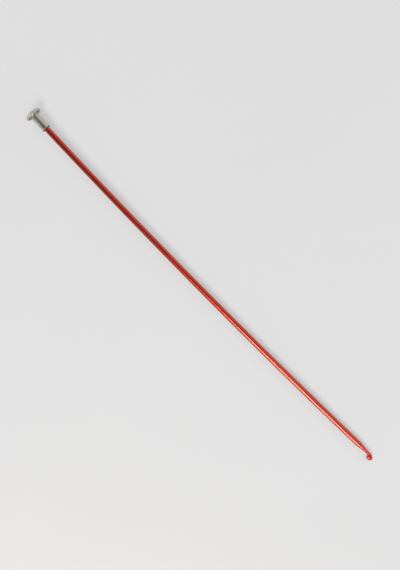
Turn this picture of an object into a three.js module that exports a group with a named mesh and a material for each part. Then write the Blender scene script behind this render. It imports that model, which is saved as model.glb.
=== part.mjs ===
// Tunisian crochet hook: a long aluminium rod with a hook formed on one end. The other end is held in
// a pressed end button, a flanged ferrule with a domed cap rolled over its flange, which stops the
// stitches from sliding off.
//
// Millimetres, +Z up, +X towards the hook. The part lies as it does on a table, on the rim of its
// button and the underside of its shaft, with the lip of the hook turned to -Y.
import * as THREE from 'three';
import { mergeVertices } from 'three/addons/utils/BufferGeometryUtils.js';

// Shaft
const overallLength = 355.6; // outer face of the button to the tip of the hook, in a straight line
const shaftDiameter = 4.5;
const shaftBow = 2.8; // how far the middle of the shaft bends away from a straight line, to the lip side
const shaftEndChamfer = 0.3;

// Hook. Sides are measured from the axis of the shaft, towards the lip or towards the spine.
const lipReach = 3.8; // axis to the outermost point of the lip side
const tipOffset = 1.6; // axis to the tip, towards the lip
const lipCrownSetback = 3.0; // tip back to the outermost point of the lip side
const headThickness = 3.9; // across the head, square to the plane of the hook
const headThickestSetback = 3.3; // tip back to the thickest point of the head
const mouthSetback = 4.4; // tip back to the face of the mouth, at the throat
const mouthLean = 2; // degrees that the face of the mouth leans forwards
const mouthFillet = 0.35; // rounding where the throat runs into the face of the mouth
const lipRounding = 0.3; // rounding of the edge of the lip
const throatLipSide = 1.1;
const throatSpineSide = 1.05;
const throatThickness = 3.5;
const throatLength = 1.0; // straight stretch of the throat behind the mouth, on the lip side
const spineRunout = 5.5; // tip back to where the rounded spine of the head meets the throat
const lipTaperLength = 13.0; // throat out to the full shaft, on the lip side
const spineTaperLength = 11.0; // the same, on the spine side
const thicknessTaperLength = 9.5; // the same, across the hook

// End button
const ferruleLength = 14.0; // face of the flange to the mouth of the ferrule
const ferruleWall = 0.8;
const ferruleMouthRounding = 0.3;
const ferruleBoreChamfer = 0.2;
const flangeThickness = 0.5;
const flangeFillet = 0.9; // between the flange and the tube of the ferrule
const shaftEndSetback = 0.3; // end of the shaft inside the ferrule, from the face of the flange
const capDiameter = 12.4;
const capWall = 0.4;
const capDomeHeight = 1.0; // centre of the cap above the rolled rim
const capLandDiameter = 4.0; // flat in the middle of the dome
const rolledLipWidth = 0.4; // how far the rolled edge reaches in over the flange
const domeEdgeSlope = 35; // degrees, slope of the dome where it meets the rolled rim

// Clearance between a piece and the seat it is pressed or rolled into
const seatGap = 0.1;

// Facets
const shaftSides = 32;
const buttonSides = 48;
const barrelSteps = 20;
const taperSteps = 14;
const headSteps = 12;
const cornerSteps = 4;
const ferruleArcSteps = 3;
const capArcSteps = 4;

// Sizes that follow from those above
const shaftRadius = shaftDiameter / 2;
const boreRadius = shaftRadius + seatGap;
const tubeRadius = boreRadius + ferruleWall;
const slotRadius = flangeThickness / 2 + seatGap; // inside of the rolled rim
const rimRadius = slotRadius + capWall; // outside of the rolled rim
const rimCentreRadius = capDiameter / 2 - rimRadius;
const rimCentre = capDomeHeight + rimRadius; // along the axis, from the outer face of the cap
const flangeBack = rimCentre - flangeThickness / 2;
const flangeFace = rimCentre + flangeThickness / 2;
const ferruleMouth = flangeFace + ferruleLength;
const shaftStart = flangeFace + shaftEndSetback;

// Smooth step from 0 to 1, level at both ends.
function ease(from, to, value) {
  const u = THREE.MathUtils.clamp((value - from) / (to - from), 0, 1);
  return u * u * (3 - 2 * u);
}

// The middle line of the shaft is a shallow parabola through the two ends of the part.
function bowAt(x) {
  const share = (2 * x) / overallLength;
  return -shaftBow * (1 - share * share);
}

function bowSlopeAt(x) {
  return (8 * shaftBow * x) / (overallLength * overallLength);
}

// Spine side of the hook at a distance behind the tip: a quarter ellipse round the head, then the
// throat, then a smooth swell out to the shaft.
function spineAt(back) {
  if (back < spineRunout) {
    const share = 1 - back / spineRunout;
    return tipOffset - (tipOffset + throatSpineSide) * Math.sqrt(1 - share * share);
  }
  const swell = ease(spineRunout, spineRunout + spineTaperLength, back);
  return -throatSpineSide - (shaftRadius - throatSpineSide) * swell;
}

// Half the thickness across the hook at a distance behind the tip.
function halfThicknessAt(back) {
  const head = headThickness / 2;
  const throat = throatThickness / 2;
  if (back < headThickestSetback) {
    const share = 1 - back / headThickestSetback;
    return head * Math.sqrt(1 - share * share);
  }
  const taperStart = mouthSetback;
  const waist = head + (throat - head) * ease(headThickestSetback, taperStart, back);
  return waist + (shaftRadius - throat) * ease(taperStart, taperStart + thicknessTaperLength, back);
}

// Lip side of the hook, as a curve of (along the shaft, towards the lip) with the tip at 0: the swell
// down from the shaft, the throat, the mouth with its rounded corner, the edge of the lip, and a
// quarter ellipse round to the tip.
function lipOutline() {
  const throatStart = -(mouthSetback + throatLength);
  const taperStart = throatStart - lipTaperLength;
  const lean = THREE.MathUtils.degToRad(mouthLean);
  const face = new THREE.Vector2(Math.sin(lean), Math.cos(lean));
  const corner = new THREE.Vector2(-mouthSetback, throatLipSide);

  // The outer side of the lip is part of the ellipse that rounds the tip. The edge of the lip is a
  // curve from the face of the mouth to that ellipse, tangent to both.
  const depth = lipReach - tipOffset;
  const faceLengthAt = (angle) => {
    const x = -lipCrownSetback + lipCrownSetback * Math.cos(angle);
    const y = tipOffset + depth * Math.sin(angle);
    const slope = (-depth * Math.cos(angle)) / (lipCrownSetback * Math.sin(angle));
    const meet = (y - corner.y + slope * (corner.x - x)) / (face.y - slope * face.x);
    return { x, y, meet };
  };
  const landing = Math.PI - Math.acos((mouthSetback - lipCrownSetback - 2 * lipRounding) / lipCrownSetback);
  const edge = faceLengthAt(landing);
  const edgeCorner = corner.clone().addScaledVector(face, edge.meet);

  const points = [];
  for (let i = 0; i <= taperSteps; i += 1) {
    const x = taperStart + (lipTaperLength * i) / taperSteps;
    const y = shaftRadius + (throatLipSide - shaftRadius) * ease(taperStart, throatStart, x);
    points.push(new THREE.Vector2(x, y));
  }
  const mouth = new THREE.Path();
  mouth.moveTo(corner.x - mouthFillet, corner.y);
  mouth.quadraticCurveTo(corner.x, corner.y, corner.x + face.x * mouthFillet, corner.y + face.y * mouthFillet);
  mouth.lineTo(edgeCorner.x - face.x * lipRounding, edgeCorner.y - face.y * lipRounding);
  mouth.quadraticCurveTo(edgeCorner.x, edgeCorner.y, edge.x, edge.y);
  points.push(...mouth.getPoints(cornerSteps));
  for (let i = 1; i <= headSteps; i += 1) {
    const angle = landing * (1 - i / headSteps);
    const x = lipCrownSetback * (Math.cos(angle) - 1);
    points.push(new THREE.Vector2(x, tipOffset + depth * Math.sin(angle)));
  }
  return points;
}

// Closed skin over rings of equally many points, with a fan to a point at each end.
function loft(firstPole, rings, lastPole) {
  const sides = rings[0].length;
  const positions = [firstPole, ...rings.flat(), lastPole].flatMap((p) => [p.x, p.y, p.z]);
  const last = 1 + rings.length * sides;
  const index = [];
  for (let j = 0; j < sides; j += 1) {
    const k = (j + 1) % sides;
    index.push(0, 1 + k, 1 + j);
    for (let i = 0; i + 1 < rings.length; i += 1) {
      const a = 1 + i * sides;
      const b = a + sides;
      index.push(a + j, a + k, b + k);
      index.push(a + j, b + k, b + j);
    }
    index.push(last, last - sides + j, last - sides + k);
  }
  const geometry = new THREE.BufferGeometry();
  geometry.setAttribute('position', new THREE.Float32BufferAttribute(positions, 3));
  geometry.setIndex(index);
  geometry.computeVertexNormals();
  return geometry;
}

// A point of the bowed shaft: x along the straight line, then towards the lip and up from the axis.
function onShaft(x, towardsLip, up) {
  const slope = bowSlopeAt(x);
  const norm = Math.hypot(1, slope);
  return new THREE.Vector3(x + (towardsLip * slope) / norm, bowAt(x) - towardsLip / norm, up);
}

// Oval section of the shaft between its lip side and its spine side.
function section(x, lip, spine, halfThickness) {
  const ring = [];
  for (let j = 0; j < shaftSides; j += 1) {
    const angle = (2 * Math.PI * j) / shaftSides;
    const towardsLip = (lip + spine) / 2 + ((lip - spine) / 2) * Math.cos(angle);
    ring.push(onShaft(x, towardsLip, -halfThickness * Math.sin(angle)));
  }
  return ring;
}

function shaftGeometry() {
  const start = -overallLength / 2 + shaftStart;
  const tip = overallLength / 2;
  const outline = lipOutline();
  const barrelStart = start + shaftEndChamfer;
  const barrelEnd = tip + outline[0].x;
  const endRadius = shaftRadius - shaftEndChamfer;
  const rings = [section(start, endRadius, -endRadius, endRadius)];
  for (let i = 0; i < barrelSteps; i += 1) {
    const x = barrelStart + ((barrelEnd - barrelStart) * i) / barrelSteps;
    rings.push(section(x, shaftRadius, -shaftRadius, shaftRadius));
  }
  for (const point of outline.slice(0, -1)) {
    rings.push(section(tip + point.x, point.y, spineAt(-point.x), halfThicknessAt(-point.x)));
  }
  return loft(onShaft(start, 0, 0), rings, onShaft(tip, tipOffset, 0));
}

// Turns a profile of (radius, distance along the axis) round the X axis.
function turned(profile) {
  const geometry = new THREE.LatheGeometry(profile, buttonSides);
  geometry.rotateZ(-Math.PI / 2);
  return geometry;
}

// Ferrule: a drawn tube that flares into a flat flange with a round edge.
function ferruleGeometry() {
  const filletRadius = tubeRadius + flangeFillet;
  const filletStart = flangeFace + flangeFillet;
  const profile = new THREE.Path();
  profile.moveTo(boreRadius, ferruleMouth - ferruleBoreChamfer);
  profile.lineTo(boreRadius, filletStart);
  profile.absellipse(filletRadius, filletStart, filletRadius - boreRadius, filletStart - flangeBack,
    Math.PI, 1.5 * Math.PI, false, 0);
  profile.lineTo(rimCentreRadius, flangeBack);
  profile.absarc(rimCentreRadius, rimCentre, flangeThickness / 2, -Math.PI / 2, Math.PI / 2, false);
  profile.lineTo(filletRadius, flangeFace);
  profile.absarc(filletRadius, filletStart, flangeFillet, 1.5 * Math.PI, Math.PI, true);
  profile.lineTo(tubeRadius, ferruleMouth - ferruleMouthRounding);
  profile.absarc(tubeRadius - ferruleMouthRounding, ferruleMouth - ferruleMouthRounding,
    ferruleMouthRounding, 0, Math.PI / 2, false);
  profile.lineTo(boreRadius + ferruleBoreChamfer, ferruleMouth);
  profile.lineTo(boreRadius, ferruleMouth - ferruleBoreChamfer);
  return turned(profile.getPoints(ferruleArcSteps));
}

// Cap: a domed sheet with a flat land in its middle, rolled round the edge of the flange.
function capGeometry() {
  const slope = THREE.MathUtils.degToRad(domeEdgeSlope);
  const rollStart = slope - Math.PI / 2;
  const land = capLandDiameter / 2;
  const skin = (roll, face) => {
    const radius = rimCentreRadius + roll * Math.cos(rollStart);
    const along = rimCentre + roll * Math.sin(rollStart);
    return { radius, along, control: radius - (along - face) / Math.tan(slope) };
  };
  const outer = skin(rimRadius, 0);
  const inner = skin(slotRadius, capWall);
  const lipRadius = rimCentreRadius - rolledLipWidth;
  const lipMiddle = rimCentre + slotRadius + capWall / 2;

  const profile = new THREE.Path();
  profile.moveTo(0, 0);
  profile.lineTo(land, 0);
  profile.quadraticCurveTo(outer.control, 0, outer.radius, outer.along);
  profile.absarc(rimCentreRadius, rimCentre, rimRadius, rollStart, Math.PI / 2, false);
  profile.lineTo(lipRadius, rimCentre + rimRadius);
  profile.absarc(lipRadius, lipMiddle, capWall / 2, Math.PI / 2, 1.5 * Math.PI, false);
  profile.lineTo(rimCentreRadius, rimCentre + slotRadius);
  profile.absarc(rimCentreRadius, rimCentre, slotRadius, Math.PI / 2, rollStart, true);
  profile.quadraticCurveTo(inner.control, capWall, land, capWall);
  profile.lineTo(0, capWall);
  return turned(profile.getPoints(capArcSteps));
}

const anodisedRed = new THREE.MeshStandardMaterial({ color: 0x9c1a12, roughness: 0.28, metalness: 0.9 });
const brightNickel = new THREE.MeshStandardMaterial({ color: 0xa9a59f, roughness: 0.22, metalness: 1.0 });

function named(name, geometry, material) {
  geometry.deleteAttribute('normal');
  geometry.deleteAttribute('uv');
  const merged = mergeVertices(geometry, 1e-4);
  merged.computeVertexNormals();
  const mesh = new THREE.Mesh(merged, material);
  mesh.name = name;
  return mesh;
}

// The button sits square on the end of the bowed shaft.
const button = new THREE.Group();
const buttonPlace = -overallLength / 2;
button.position.set(buttonPlace, bowAt(buttonPlace), 0);
button.rotation.z = Math.atan(bowSlopeAt(buttonPlace));
button.add(named('end_ferrule', ferruleGeometry(), brightNickel));
button.add(named('button_cap', capGeometry(), brightNickel));

// At rest the shaft slopes down from the rim of the button to where its full thickness ends.
const hook = new THREE.Group();
const shaftContact = overallLength - mouthSetback - thicknessTaperLength;
hook.rotation.y = Math.atan((capDiameter / 2 - shaftRadius) / (shaftContact - rimCentre));
hook.add(named('hook_shaft', shaftGeometry(), anodisedRed));
hook.add(button);

// The origin is under the middle of the part, on the surface it lies on.
const group = new THREE.Group();
group.add(hook);
group.updateMatrixWorld(true);
const extent = new THREE.Box3().setFromObject(group, true);
const middle = extent.getCenter(new THREE.Vector3());
hook.position.set(-middle.x, -middle.y, -extent.min.z);
group.updateMatrixWorld(true);

export default group;
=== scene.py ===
"""Tunisian crochet hook, finished: red anodised rod with its hook, nickel-plated ferrule and end cap.

The sizes are those of the frame's three solids, in millimetres and in the same words. Each piece is a
surface worked out as whole arrays of points, then turned the way the part lies and put into metres.
"""

import bpy
import numpy as np
from mathutils import Matrix, Vector


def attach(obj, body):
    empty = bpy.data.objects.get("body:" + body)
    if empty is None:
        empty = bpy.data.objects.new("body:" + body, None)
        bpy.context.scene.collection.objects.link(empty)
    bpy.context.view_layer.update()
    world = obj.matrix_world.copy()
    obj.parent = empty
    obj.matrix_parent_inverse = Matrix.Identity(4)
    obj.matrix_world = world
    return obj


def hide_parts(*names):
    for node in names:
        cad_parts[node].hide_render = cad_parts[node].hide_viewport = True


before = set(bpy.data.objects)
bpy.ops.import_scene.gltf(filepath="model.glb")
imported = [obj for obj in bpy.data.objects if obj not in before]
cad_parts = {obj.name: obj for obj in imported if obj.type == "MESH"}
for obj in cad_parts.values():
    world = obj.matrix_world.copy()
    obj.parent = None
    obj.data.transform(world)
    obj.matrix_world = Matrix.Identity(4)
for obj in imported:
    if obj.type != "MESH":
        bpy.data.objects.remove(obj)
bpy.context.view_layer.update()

# Shaft
overall_length = 355.6
shaft_diameter = 4.5
shaft_bow = 2.8
shaft_end_chamfer = 0.3

# Hook, with sides measured from the axis of the shaft
lip_reach = 3.8
tip_offset = 1.6
lip_crown_setback = 3.0
head_thickness = 3.9
head_thickest_setback = 3.3
mouth_setback = 4.4
mouth_lean = np.radians(2)
mouth_fillet = 0.35
lip_rounding = 0.3
throat_lip_side = 1.1
throat_spine_side = 1.05
throat_thickness = 3.5
throat_length = 1.0
spine_runout = 5.5
lip_taper_length = 13.0
spine_taper_length = 11.0
thickness_taper_length = 9.5

# End button
ferrule_length = 14.0
ferrule_wall = 0.8
ferrule_mouth_rounding = 0.3
ferrule_bore_chamfer = 0.2
ferrule_softening = 0.06
flange_thickness = 0.5
flange_fillet = 0.9
shaft_end_setback = 0.3
cap_diameter = 12.4
cap_wall = 0.4
cap_dome_height = 1.0
cap_land_diameter = 4.0
rolled_lip_width = 0.4
dome_edge_slope = np.radians(35)
seat_gap = 0.1
pressed_gap = 0.02

# Sizes that follow from those above
shaft_radius = shaft_diameter / 2
bore_radius = shaft_radius + seat_gap
tube_radius = bore_radius + ferrule_wall
slot_radius = flange_thickness / 2 + seat_gap
pressed_radius = flange_thickness / 2 + pressed_gap
rim_radius = slot_radius + cap_wall
rim_centre_radius = cap_diameter / 2 - rim_radius
rim_centre = cap_dome_height + rim_radius
flange_back = rim_centre - flange_thickness / 2
flange_face = rim_centre + flange_thickness / 2
ferrule_mouth = flange_face + ferrule_length
shaft_start = flange_face + shaft_end_setback
tip = overall_length / 2
button_place = -overall_length / 2
shaft_contact = overall_length - mouth_setback - thickness_taper_length
land_radius = cap_land_diameter / 2

# Fineness of the surfaces
shaft_sides = 96
button_sides = 144
barrel_rings = 230
taper_rings = 150
throat_rings = 24
corner_rings = 14
head_rings = 90
arc_points = 16
tube_points = 40
dome_points = 30
land_points = 12

# Colour rubbed off the rod: strengths from 0 to 1, places and widths in millimetres
lip_rub_centre = mouth_setback - 0.5
lip_rub_width = 0.45
lip_rub_sides = (0.9, 2.6)
tip_rub = 0.5
tip_rub_width = 0.9
yarn_rub = 0.3
yarn_rub_centre = mouth_setback + 1.6
yarn_rub_width = 1.8
yarn_rub_sides = (0.2, 0.9)
ferrule_rub = 0.35
ferrule_rub_width = 0.8
drawn_runout = 14.0

# Plate with painted shade, polished or rubbed, in the same way
corner_painted_shade = 0.9
corner_painted_shade_width = 0.8
mouth_painted_shade = 0.6
flange_polish = 0.6
flange_polish_radii = (4.05, 4.5)
dome_polish = 0.6
dome_polish_depths = (0.3, 1.1)
rim_polish = 0.3
rim_polish_radii = (5.4, 5.9)
roll_polish = 0.6
roll_polish_radii = (4.85, 5.25)
rim_rub = 0.25
rim_rub_width = 0.25
land_rub = 0.35
land_rub_radii = (land_radius - 0.4, land_radius + 0.6)

# Colours in linear light, as red, green, blue and 1
dye_deep = (0.44, 0.018, 0.002, 1)
dye_light = (0.53, 0.025, 0.003, 1)
dye_on_lines = (0.61, 0.045, 0.009, 1)
dye_rubbed = (0.78, 0.27, 0.19, 1)
plate_deep = (0.50, 0.472, 0.440, 1)
plate_light = (0.57, 0.540, 0.502, 1)
plate_brushed = (0.43, 0.42, 0.405, 1)
# Painted shade: darker plate in the flange's corner and at the ferrule's mouth
plate_painted_shade = (0.22, 0.20, 0.175, 1)
plate_rubbed = (0.66, 0.635, 0.59, 1)
floor_deep = (0.243, 0.253, 0.289, 1)
floor_light = (0.259, 0.269, 0.307, 1)
backdrop = (0.78, 0.78, 0.78, 1)

# Roughness of the finishes, what wear and painted shade add to it, and the clear layer of oxide on the rod
rod_roughness = (0.25, 0.31)
rubbed_rod_adds = -0.06
milled_rod_adds = 0.10
plate_roughness = (0.23, 0.31)
painted_shade_plate_adds = 0.35
brushed_plate_adds = 0.45
scratch_adds = 0.15
clear_where_milled = 0.35
clear_roughness = 0.16
clear_ior = 1.6

# Patterns: how often they change in a metre, along each of three axes
drawn_lines = (14.0, 5200.0, 5200.0)
dye_drift = (24.0, 160.0, 160.0)
oxide_grain = (2600.0, 2600.0, 2600.0)
turning_marks = (5000.0, 5000.0, 1.0)
plate_clouds = (420.0, 420.0, 420.0)
floor_clouds = (9.0, 9.0, 9.0)
hair_fineness = 700.0
hair_width = 0.012

# Parts of a pattern's range, 0 to 1, over which colour or roughness changes, and how far it then shows
colour_range = (0.35, 0.65)
roughness_range = (0.3, 0.7)
line_range = (0.52, 0.72)
line_share = 0.35
grain_range = (0.3, 0.6)
least_worn = 0.35

# Finest relief: its depth in metres, how strongly it shows, and heights against those of the lines
relief_depth = 0.00001
rod_relief = 0.25
plate_relief = 0.2
grain_height = 0.15
scratch_height = -0.8

# Studio, in metres, with glows as shares of full white
floor_reach = 14.0
floor_glow = 0.365
lamp_distance = 6.0
sky_colour = (1.0, 0.955, 0.87)
dimmest_way = (0.0, -0.38, 0.925)
dimmest_range = (0.38, 0.96)
dimmest_glow = 0.13
horizon_glow = 0.84
hookward_range = (0.05, 0.40)
hookward_glow = 0.45
camera_place = (-0.00215, -0.00112, 0.560)
camera_turn = np.radians(45.31)
camera_lens = 47.96


def ease(start, end, value):
    """Smooth step: u * u * (3 - 2 * u), with u the share of the way from start to end, held in 0 to 1."""
    u = np.clip((value - start) / (end - start), 0.0, 1.0)
    return u * u * (3.0 - 2.0 * u)


def bell(value, centre, width):
    """Bell curve: e to the power of minus ((value - centre) / width) squared."""
    return np.exp(-((value - centre) / width) ** 2)


def bow(x):
    """Bend of the rod sideways: a parabola, nought at the ends and shaft_bow deep in the middle."""
    return -shaft_bow * (1.0 - (2.0 * x / overall_length) ** 2)


def bow_slope(x):
    """Slope of the bend: eight times shaft_bow times x, over the length squared."""
    return 8.0 * shaft_bow * x / overall_length ** 2


def curve_between(start, pull, end, count):
    """Parabola arc: (1 - u)^2 start + 2 u (1 - u) pull + u^2 end, for u from 0 to 1."""
    u = np.linspace(0.0, 1.0, count)[:, None]
    return (1 - u) ** 2 * start + 2 * u * (1 - u) * pull + u ** 2 * end


def arc(centre, radii, start, end, count):
    """Part of an ellipse or circle: centre plus radii times (cos, sin) of the angle, which goes from
    start to end degrees."""
    angle = np.radians(np.linspace(start, end, count))[:, None]
    return np.array(centre) + np.array(radii) * np.hstack([np.cos(angle), np.sin(angle)])


def spine_side(back):
    """Spine at a distance behind the tip: a quarter ellipse, then a smooth swell from throat to rod."""
    share = np.clip(1.0 - back / spine_runout, 0.0, 1.0)
    head = tip_offset - (tip_offset + throat_spine_side) * np.sqrt(1.0 - share ** 2)
    swell = ease(spine_runout, spine_runout + spine_taper_length, back)
    return head - (shaft_radius - throat_spine_side) * swell


def half_thickness(back):
    """Half the thickness at a distance behind the tip: a quarter ellipse up to the thickest point,
    a smooth waist to the throat, then a smooth swell to the rod."""
    head, throat = head_thickness / 2, throat_thickness / 2
    share = np.clip(1.0 - back / head_thickest_setback, 0.0, 1.0)
    waist = (throat - head) * ease(head_thickest_setback, mouth_setback, back)
    swell = (shaft_radius - throat) * ease(mouth_setback, mouth_setback + thickness_taper_length, back)
    return head * np.sqrt(1.0 - share ** 2) + waist + swell


def lip_side():
    """Outline of the lip side as rows of (along from the tip, towards the lip).

    The rod swells down to the throat by the smooth step, the throat runs straight, a parabola arc turns
    it into the leaning face of the mouth, a second one rounds the edge of the lip, and a quarter
    ellipse goes round the head to the tip."""
    corner = np.array([-mouth_setback, throat_lip_side])
    face = np.array([np.sin(mouth_lean), np.cos(mouth_lean)])
    throat_start = corner[0] - throat_length
    taper_start = throat_start - lip_taper_length

    depth = lip_reach - tip_offset
    lip_behind_crown = mouth_setback - lip_crown_setback - 2 * lip_rounding
    landing = np.pi - np.arccos(lip_behind_crown / lip_crown_setback)
    edge = np.array([lip_crown_setback * (np.cos(landing) - 1), tip_offset + depth * np.sin(landing)])
    slope = -depth * np.cos(landing) / (lip_crown_setback * np.sin(landing))
    meet = (edge[1] - corner[1] + slope * (corner[0] - edge[0])) / (face[1] - slope * face[0])
    edge_corner = corner + face * meet

    x = np.linspace(taper_start, throat_start, taper_rings)
    swell = shaft_radius + (throat_lip_side - shaft_radius) * ease(taper_start, throat_start, x)
    throat = np.linspace([throat_start, throat_lip_side], corner - [mouth_fillet, 0], throat_rings)
    root = curve_between(corner - [mouth_fillet, 0], corner, corner + face * mouth_fillet, corner_rings)
    mouth = np.linspace(root[-1], edge_corner - face * lip_rounding, corner_rings)
    lip = curve_between(mouth[-1], edge_corner, edge, corner_rings)
    head_radii = (lip_crown_setback, depth)
    head = arc((-lip_crown_setback, tip_offset), head_radii, np.degrees(landing), 0, head_rings)
    return np.vstack([np.column_stack([x, swell]), throat[1:], root[1:], mouth[1:], lip[1:], head[1:]])


def along_rod(x, towards_lip, up):
    """Point of the bowed rod: x and the bend, plus the sideways distance square to the bent middle line."""
    slope = bow_slope(x)
    norm = np.hypot(1.0, slope)
    return np.stack([x + towards_lip * slope / norm, bow(x) - towards_lip / norm, up + 0 * x], -1)


def rod_surface():
    """Rod and hook on a grid of (station, angle): each section is an oval, with
    sideways = (lip + spine) / 2 + (lip - spine) / 2 * cos(angle) and up = -half thickness * sin(angle).
    Returns the points, and the same points with the bend taken out."""
    start = button_place + shaft_start
    outline = lip_side()[:-1]
    x = np.linspace(start + shaft_end_chamfer, tip + outline[0, 0], barrel_rings)[:-1]
    end_radius = shaft_radius - shaft_end_chamfer
    station = np.concatenate([[start], x, tip + outline[:, 0]])
    back = tip - station
    lip = np.concatenate([[end_radius], np.full(len(x), shaft_radius), outline[:, 1]])
    spine = spine_side(back)
    half = half_thickness(back)
    spine[0], half[0] = -end_radius, end_radius

    angle = np.linspace(0.0, 2.0 * np.pi, shaft_sides, endpoint=False)[None, :]
    middle, reach = ((lip + spine) / 2)[:, None], ((lip - spine) / 2)[:, None]
    sideways = middle + reach * np.cos(angle)
    up = -half[:, None] * np.sin(angle)
    station = station[:, None] + 0 * angle
    ends = np.array([[start, 0.0, 0.0], [tip, tip_offset, 0.0]])
    straight = np.vstack([ends, np.stack([station, sideways, up], -1).reshape(-1, 3)])
    return along_rod(*straight.T), straight


def softened(profile, size):
    """Rounds the corners of a profile: each point becomes a parabola arc of three points that starts and
    ends a little way along its two sides, at most size and at most a third of the side."""
    before, after = np.roll(profile, 1, 0), np.roll(profile, -1, 0)
    into, out = before - profile, after - profile
    into_length = np.linalg.norm(into, axis=1, keepdims=True)
    out_length = np.linalg.norm(out, axis=1, keepdims=True)
    reach = np.minimum(size, np.minimum(into_length, out_length) / 3)
    first, last = profile + into / into_length * reach, profile + out / out_length * reach
    return np.stack([first, (first + 2 * profile + last) / 4, last], 1).reshape(-1, 2)


def ferrule_profile():
    """Section of the ferrule as a closed ring of (radius, along): straight bore with a chamfered mouth,
    elliptical flare, flange with a half-round edge, quarter-round fillet, tube and rounded mouth."""
    fillet_radius = tube_radius + flange_fillet
    fillet_start = flange_face + flange_fillet
    mouth_start = ferrule_mouth - ferrule_mouth_rounding
    mouth_radius = tube_radius - ferrule_mouth_rounding
    bore_mouth = ferrule_mouth - ferrule_bore_chamfer
    flare_radii = (fillet_radius - bore_radius, fillet_start - flange_back)
    bore = np.linspace([bore_radius, bore_mouth], [bore_radius, fillet_start], tube_points)
    flare = arc((fillet_radius, fillet_start), flare_radii, 180, 270, arc_points)
    brim = arc((rim_centre_radius, rim_centre), flange_thickness / 2, -90, 90, arc_points)
    fillet = arc((fillet_radius, fillet_start), flange_fillet, 270, 180, arc_points)
    tube = np.linspace([tube_radius, fillet_start], [tube_radius, mouth_start], tube_points)
    mouth = arc((mouth_radius, mouth_start), ferrule_mouth_rounding, 0, 90, arc_points)
    chamfer = np.array([[bore_radius + ferrule_bore_chamfer, ferrule_mouth]])
    return np.vstack([bore, flare[1:], brim, fillet, tube[1:], mouth[1:], chamfer])


def cap_profile():
    """Section of the cap from axis to axis as (radius, along): flat land, parabola dome, rim rolled round
    the flange, quarter-round edge of the roll pressed down on it, and back along the inner skin."""
    roll_start = dome_edge_slope - np.pi / 2
    turn = np.array([np.cos(roll_start), np.sin(roll_start)])
    centre = np.array([rim_centre_radius, rim_centre])
    outer, inner = centre + rim_radius * turn, centre + pressed_radius * turn
    outer_pull = np.array([outer[0] - outer[1] / np.tan(dome_edge_slope), 0.0])
    inner_pull = np.array([inner[0] - (inner[1] - cap_wall) / np.tan(dome_edge_slope), cap_wall])
    edge_centre = (rim_centre_radius - rolled_lip_width, rim_centre + pressed_radius)
    edge_radii = (cap_wall / 2, rim_radius - pressed_radius)

    first, last = np.degrees(roll_start), 90.0
    outer_land, inner_land = np.array([land_radius, 0.0]), np.array([land_radius, cap_wall])
    innermost = land_radius / land_points
    face = np.linspace([innermost, 0.0], outer_land, land_points)
    dome = curve_between(outer_land, outer_pull, outer, dome_points)
    rim = arc(centre, rim_radius, first, last, 2 * arc_points)
    edge = arc(edge_centre, edge_radii, 90, 180, arc_points)
    slot = arc(centre, pressed_radius, last, first, 2 * arc_points)
    skin = curve_between(inner, inner_pull, inner_land, dome_points)
    seat = np.linspace(inner_land, [innermost, cap_wall], land_points)
    return np.vstack([face, dome[1:], rim[1:], edge, slot, skin[1:], seat[1:]])


def turned(profile):
    """Ring of points round the X axis for each point of the profile: along, then radius times minus sin
    and cos of the angle. Returns them with their (along, radius) for the turning marks."""
    angle = np.linspace(0.0, 2.0 * np.pi, button_sides, endpoint=False)[None, :]
    radius, along = profile[:, :1] + 0 * angle, profile[:, 1:] + 0 * angle
    points = np.stack([along, -radius * np.sin(angle), radius * np.cos(angle)], -1)
    return points.reshape(-1, 3), np.stack([along, radius, 0 * radius], -1).reshape(-1, 3)


def on_rod_end(points):
    """Puts a turned piece square on the bent end of the rod: a turn about Z by the slope of the bend."""
    angle = np.arctan(bow_slope(button_place))
    c, s = np.cos(angle), np.sin(angle)
    turn = np.array([[c, -s, 0.0], [s, c, 0.0], [0.0, 0.0, 1.0]])
    return points @ turn.T + [button_place, bow(button_place), 0.0]


def laid_down(points):
    """Slopes the part from the rim of its cap down to the full rod behind the hook: a turn about Y."""
    angle = np.arctan((cap_diameter / 2 - shaft_radius) / (shaft_contact - rim_centre))
    c, s = np.cos(angle), np.sin(angle)
    return points @ np.array([[c, 0.0, s], [0.0, 1.0, 0.0], [-s, 0.0, c]]).T


def piece(name, points, place, sides, ends, body="root"):
    """Makes a mesh of a grid of points, ring after ring: four-sided faces between neighbouring rings, and
    a fan from each end point, which come first, or else faces from the last ring back to the first."""
    first = 2 if ends else 0
    rings = (len(points) - first) // sides
    ring = np.arange(rings - 1 if ends else rings)[:, None]
    side = np.arange(sides)[None, :]
    ring_after, side_after = (ring + 1) % rings, (side + 1) % sides
    corners = [ring * sides + side, ring * sides + side_after,
               ring_after * sides + side_after, ring_after * sides + side]
    quads = first + np.stack(corners, -1).reshape(-1, 4)
    fans = np.zeros((0, 3), int)
    if ends:
        j, k, last = side[0], side_after[0], first + (rings - 1) * sides
        fans = np.vstack([np.column_stack([0 * j, first + k, first + j]),
                          np.column_stack([0 * j + 1, last + j, last + k])])
    corner_counts = np.concatenate([np.full(len(quads), 4), np.full(len(fans), 3)])

    mesh = bpy.data.meshes.new(name)
    mesh.vertices.add(len(points))
    mesh.vertices.foreach_set("co", (points / 1000.0).ravel())
    mesh.loops.add(int(corner_counts.sum()))
    mesh.loops.foreach_set("vertex_index", np.concatenate([quads.ravel(), fans.ravel()]))
    mesh.polygons.add(len(corner_counts))
    mesh.polygons.foreach_set("loop_start", np.cumsum(corner_counts) - corner_counts)
    mesh.update(calc_edges=True)
    mesh.shade_smooth()
    for label, values in place.items():
        kind, field = ("FLOAT", "value") if values.ndim == 1 else ("FLOAT_VECTOR", "vector")
        mesh.attributes.new(label, kind, "POINT").data.foreach_set(field, values.ravel())
    made = bpy.data.objects.new(name, mesh)
    bpy.context.scene.collection.objects.link(made)
    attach(made, body)
    return made


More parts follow.
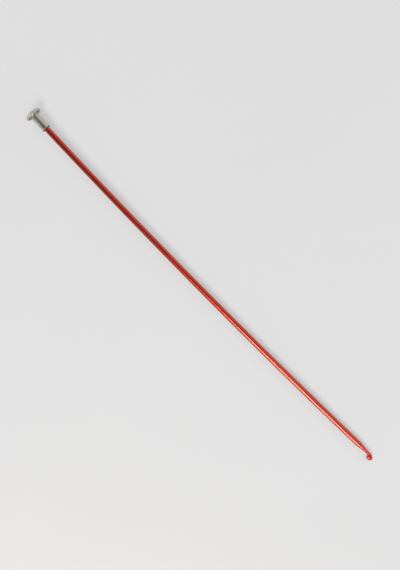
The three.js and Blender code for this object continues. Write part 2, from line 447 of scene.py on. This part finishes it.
def node(tree, kind, inputs, **settings):
    """Adds one shader node and returns its outputs. Each input is a number, a colour or an output of
    another node."""
    made = tree.nodes.new("ShaderNode" + kind)
    for key, value in settings.items():
        setattr(made, key, value)
    for key, value in inputs.items():
        if isinstance(value, bpy.types.NodeSocket):
            tree.links.new(value, made.inputs[key])
        else:
            made.inputs[key].default_value = value
    return made.outputs


def finish_of(name, metal):
    """New material that is so much metal, from 0 to 1: the material, its node tree and its shader."""
    material = bpy.data.materials.new(name)
    material.use_nodes = True
    shader = material.node_tree.nodes["Principled BSDF"]
    shader.inputs["Metallic"].default_value = metal
    return material, material.node_tree, shader


def carried(tree, name, output="Fac"):
    """What a piece carries under a name at each of its points: a share, or a place as output Vector."""
    return node(tree, "Attribute", {}, attribute_name=name)[output]


def streaks(tree, place, fineness, detail):
    """Noise on stretched coordinates: fineness is how often it changes in a metre, along each axis."""
    stretched = node(tree, "Mapping", {"Vector": place, "Scale": fineness})["Vector"]
    return node(tree, "TexNoise", {"Vector": stretched, "Scale": 1.0, "Detail": detail})["Fac"]


def spread(tree, value, low, high, to_low=0.0, to_high=1.0):
    """Carries a value from one range to another, smoothly and no further than its ends."""
    ranges = {"Value": value, "From Min": low, "From Max": high, "To Min": to_low, "To Max": to_high}
    return node(tree, "MapRange", ranges, interpolation_type="SMOOTHSTEP")["Result"]


def times(tree, a, b):
    """One number or pattern times another."""
    return node(tree, "Math", {0: a, 1: b}, operation="MULTIPLY")["Value"]


def plus(tree, a, b):
    """One number or pattern plus another."""
    return node(tree, "Math", {0: a, 1: b}, operation="ADD")["Value"]


def blended(tree, share, first, second):
    """Mix of two colours: the share of the second is a number or a pattern."""
    return node(tree, "Mix", {0: share, 6: first, 7: second}, data_type="RGBA")[2]


def relief(tree, shader, height, strength):
    """Gives a finish its finest relief, from a pattern of heights."""
    heights = {"Strength": strength, "Distance": relief_depth, "Height": height}
    tree.links.new(node(tree, "Bump", heights)["Normal"], shader.inputs["Normal"])


def anodised_red():
    """Dyed oxide on drawn aluminium: the dye runs a little lighter and darker along the rod, fine drawn
    lines follow it up to the hook, which is milled to a duller satin, and the colour is rubbed thin where
    yarn and hand polish it."""
    material, tree, shader = finish_of("anodised_red", 1.0)
    place = carried(tree, "straight_place", "Vector")
    rubbed = carried(tree, "rubbed")
    drawn = carried(tree, "drawn")
    milled = carried(tree, "milled")

    lines = streaks(tree, place, drawn_lines, 3.0)
    dye = streaks(tree, place, dye_drift, 2.0)
    grain = streaks(tree, place, oxide_grain, 2.0)

    red = blended(tree, spread(tree, dye, *colour_range), dye_deep, dye_light)
    lined = times(tree, spread(tree, lines, *line_range, 0.0, line_share), drawn)
    red = blended(tree, lined, red, dye_on_lines)
    worn = times(tree, rubbed, spread(tree, grain, *grain_range, least_worn, 1.0))
    red = blended(tree, worn, red, dye_rubbed)
    tree.links.new(red, shader.inputs["Base Color"])

    satin = spread(tree, lines, *roughness_range, *rod_roughness)
    satin = plus(tree, satin, times(tree, rubbed, rubbed_rod_adds))
    satin = plus(tree, satin, times(tree, milled, milled_rod_adds))
    tree.links.new(satin, shader.inputs["Roughness"])
    clear = spread(tree, milled, 0.0, 1.0, 1.0, clear_where_milled)
    tree.links.new(clear, shader.inputs["Coat Weight"])
    shader.inputs["Coat Roughness"].default_value = clear_roughness
    shader.inputs["Coat IOR"].default_value = clear_ior
    height = plus(tree, times(tree, lines, drawn), times(tree, grain, grain_height))
    relief(tree, shader, height, rod_relief)
    return material


def bright_nickel():
    """Nickel plate on pressed sheet, with turning marks round the axis and faint clouds. The cap is
    brushed to a duller grey, painted shade darkens the plate in the corner of the flange and at the mouth
    of the ferrule and dims the highlights there, and the rim and the land of the cap are rubbed brighter,
    with fine scratches."""
    material, tree, shader = finish_of("bright_nickel", 1.0)
    place = carried(tree, "turned_place", "Vector")
    rubbed = carried(tree, "rubbed")
    # Painted shade: how much darker the plate is painted in the flange's corner and at the ferrule's mouth
    painted_shade = carried(tree, "painted_shade")
    brushed = carried(tree, "brushed")
    spot = node(tree, "TexCoord", {})["Object"]

    marks = streaks(tree, place, turning_marks, 2.0)
    clouds = streaks(tree, spot, plate_clouds, 4.0)
    tangle = {"Vector": spot, "Scale": hair_fineness, "Detail": 2.0, "Distortion": 2.5}
    hairs = node(tree, "TexNoise", tangle)["Fac"]
    on_hair = node(tree, "Math", {0: hairs, 1: 0.5, 2: hair_width}, operation="COMPARE")["Value"]
    scratch = times(tree, on_hair, rubbed)

    plate = blended(tree, spread(tree, clouds, *colour_range), plate_deep, plate_light)
    plate = blended(tree, brushed, plate, plate_brushed)
    # Painted shade in the flange's corner and at the ferrule's mouth, which also dims the highlights there
    plate = blended(tree, painted_shade, plate, plate_painted_shade)
    plate = blended(tree, rubbed, plate, plate_rubbed)
    tree.links.new(plate, shader.inputs["Base Color"])

    dull = spread(tree, clouds, *roughness_range, *plate_roughness)
    dull = plus(tree, dull, times(tree, painted_shade, painted_shade_plate_adds))
    dull = plus(tree, dull, times(tree, brushed, brushed_plate_adds))
    dull = plus(tree, dull, times(tree, scratch, scratch_adds))
    tree.links.new(dull, shader.inputs["Roughness"])
    height = plus(tree, marks, times(tree, scratch, scratch_height))
    relief(tree, shader, height, plate_relief)
    return material


def pale_top():
    """Floor in a faintly clouded pale grey, which glows a little where it is seen by the camera, in
    reflections or through glass, but lights nothing."""
    material, tree, shader = finish_of("pale_top", 0.0)
    clouds = streaks(tree, node(tree, "TexCoord", {})["Object"], floor_clouds, 3.0)
    tree.links.new(blended(tree, clouds, floor_deep, floor_light), shader.inputs["Base Color"])
    ray = node(tree, "LightPath", {})
    seen = plus(tree, ray["Is Camera Ray"], ray["Is Glossy Ray"])
    seen = plus(tree, seen, ray["Is Transmission Ray"])
    tree.links.new(times(tree, seen, floor_glow), shader.inputs["Emission Strength"])
    return material


def stand_in_view(name, data, place, turn):
    """Puts a lamp or camera at a place in metres, turned by the given angles."""
    made = bpy.data.objects.new(name, data)
    bpy.context.scene.collection.objects.link(made)
    made.location = place
    made.rotation_euler = turn
    return made


def soft_lamp(name, along, across, length, width, brightness, colour):
    """Area lamp at lamp_distance, not seen by the camera. It leans so many degrees along the rod, towards
    the hook, and across it, towards the lip side, with its length in line with the rod. Its power is pi
    times area times brightness."""
    data = bpy.data.lights.new(name, "AREA")
    data.shape = "RECTANGLE"
    data.size, data.size_y = length, width
    data.energy = np.pi * length * width * brightness
    data.color = colour
    along, across = np.radians(along), np.radians(across)
    way = Vector((np.sin(along), -np.cos(along) * np.sin(across), np.cos(along) * np.cos(across)))
    side = way.cross((1.0, 0.0, 0.0)).normalized()
    turn = Matrix((side.cross(way), side, way)).transposed().to_euler()
    made = stand_in_view(name, data, way * lamp_distance, turn)
    made.visible_camera = False
    return made


# Surfaces of the three pieces, laid down, and the way from there to the frame's origin
rod, straight = rod_surface()
ferrule, ferrule_place = turned(softened(ferrule_profile(), ferrule_softening))
cap, cap_place = turned(cap_profile())
rod = laid_down(rod)
ferrule = laid_down(on_rod_end(ferrule))
cap = laid_down(on_rod_end(cap))
everything = np.vstack([rod, ferrule, cap])
low, high = everything.min(0), everything.max(0)
to_origin = -np.array([(low[0] + high[0]) / 2, (low[1] + high[1]) / 2, low[2]])

# Rod: rubbed at the lip, the tip, in the throat and at the ferrule's mouth
behind_tip = tip - straight[:, 0]
towards_lip = straight[:, 1]
from_ferrule = np.abs(straight[:, 0] - (button_place + ferrule_mouth))
lip_edge = bell(behind_tip, lip_rub_centre, lip_rub_width) * ease(*lip_rub_sides, towards_lip)
tip_crown = tip_rub * bell(behind_tip, 0.0, tip_rub_width)
yarn_run = bell(behind_tip, yarn_rub_centre, yarn_rub_width) * ease(*yarn_rub_sides, towards_lip)
ferrule_scuff = ferrule_rub * np.exp(-from_ferrule / ferrule_rub_width)
throat_end = mouth_setback + throat_length
rod_wear = {
    "straight_place": np.column_stack([-behind_tip, straight[:, 1], straight[:, 2]]) / 1000.0,
    "rubbed": np.clip(lip_edge + tip_crown + yarn_rub * yarn_run + ferrule_scuff, 0.0, 1.0),
    "drawn": ease(throat_end, throat_end + drawn_runout, behind_tip),
    "milled": 1.0 - ease(mouth_setback, throat_end + lip_taper_length, behind_tip),
}
hook_rod = piece("hook_rod", rod + to_origin, rod_wear, shaft_sides, True)
hook_rod.data.materials.append(anodised_red())
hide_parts("hook_shaft")

# Ferrule: painted shade in the corner of its flange and at its mouth, duller on the flange and at its mouth
nickel = bright_nickel()
along, radius = ferrule_place[:, 0], ferrule_place[:, 1]
corner_depth = np.hypot(along - flange_face, radius - tube_radius)
at_mouth = ease(ferrule_mouth - 2 * ferrule_mouth_rounding, ferrule_mouth - ferrule_mouth_rounding, along)
on_flange = ease(tube_radius, tube_radius + flange_fillet, radius)
flange_kept_dull = 1.0 - flange_polish * ease(*flange_polish_radii, radius)
ferrule_wear = {
    "turned_place": ferrule_place / 1000.0,
    "rubbed": np.zeros(len(radius)),
    # Painted shade, strongest in the flange's corner and at the mouth
    "painted_shade": corner_painted_shade * np.exp(-corner_depth / corner_painted_shade_width) + mouth_painted_shade * at_mouth,
    "brushed": on_flange * flange_kept_dull + at_mouth,
}
sleeve = piece("ferrule_sleeve", ferrule + to_origin, ferrule_wear, button_sides, False)
sleeve.data.materials.append(nickel)
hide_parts("end_ferrule")

# Cap: brushed all over, less so on the dome, the rim and the edge of the roll, rubbed on rim and land
along, radius = cap_place[:, 0], cap_place[:, 1]
on_rim = bell(radius, cap_diameter / 2, rim_rub_width)
on_land = (1.0 - ease(*land_rub_radii, radius)) * (along < cap_wall / 2)
on_dome = 1.0 - ease(*dome_polish_depths, along)
on_roll = (1.0 - ease(*roll_polish_radii, radius)) * (along > rim_centre)
rim_kept_dull = 1.0 - rim_polish * ease(*rim_polish_radii, radius)
cap_wear = {
    "turned_place": cap_place / 1000.0,
    "rubbed": np.clip(rim_rub * on_rim + land_rub * on_land, 0.0, 1.0),
    "painted_shade": np.zeros(len(radius)),
    "brushed": (1.0 - dome_polish * on_dome) * rim_kept_dull * (1.0 - roll_polish * on_roll),
}
button = piece("domed_cap", cap + to_origin, cap_wear, button_sides, True)
button.data.materials.append(nickel)
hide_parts("button_cap")

# Plain pale floor, made paler where it is seen, so that its shadows stay faint
floor_mesh = bpy.data.meshes.new("pale_floor")
floor_corners = [(-floor_reach, -floor_reach, 0), (floor_reach, -floor_reach, 0),
                 (floor_reach, floor_reach, 0), (-floor_reach, floor_reach, 0)]
floor_mesh.from_pydata(floor_corners, [], [(0, 1, 2, 3)])
floor = bpy.data.objects.new("pale_floor", floor_mesh)
bpy.context.scene.collection.objects.link(floor)
floor_mesh.materials.append(pale_top())

# Soft light: a strip light high on the lip side towards the hook, and a larger and weaker soft box almost
# overhead, towards the button, which is kept out of reflections
soft_lamp("strip_light", along=18.0, across=38.5, length=2.6, width=1.9, brightness=17.0,
          colour=(1.0, 0.93, 0.74))
soft_box = soft_lamp("soft_box", along=-10.0, across=18.0, length=3.0, width=2.4, brightness=5.8,
                     colour=(1.0, 0.98, 0.97))
soft_box.visible_glossy = False

# Surroundings: dim overhead on the lip side, paler towards the horizon and towards the hook, while the
# camera itself sees a plain pale backdrop behind the floor
world = bpy.data.worlds.new("studio")
world.use_nodes = True
bpy.context.scene.world = world
sky = world.node_tree
direction = node(sky, "TexCoord", {})["Generated"]
near_dimmest = node(sky, "VectorMath", {0: direction, 1: dimmest_way}, operation="DOT_PRODUCT")["Value"]
paleness = spread(sky, near_dimmest, *dimmest_range, horizon_glow, dimmest_glow)
hookwards = node(sky, "SeparateXYZ", {0: direction})["X"]
paleness = plus(sky, paleness, spread(sky, hookwards, *hookward_range, 0.0, hookward_glow))
glow = node(sky, "VectorMath", {0: sky_colour, "Scale": paleness}, operation="SCALE")["Vector"]
glow = blended(sky, node(sky, "LightPath", {})["Is Camera Ray"], glow, backdrop)
sky.links.new(glow, sky.nodes["Background"].inputs["Color"])

# Camera straight above, turned so that the rod runs down to the right
lens = bpy.data.cameras.new("camera")
lens.lens = camera_lens
lens.sensor_width = 36.0
bpy.context.scene.camera = stand_in_view("camera", lens, camera_place, (0.0, 0.0, camera_turn))
bpy.context.scene.view_settings.view_transform = "Standard"

bpy.context.view_layer.update()
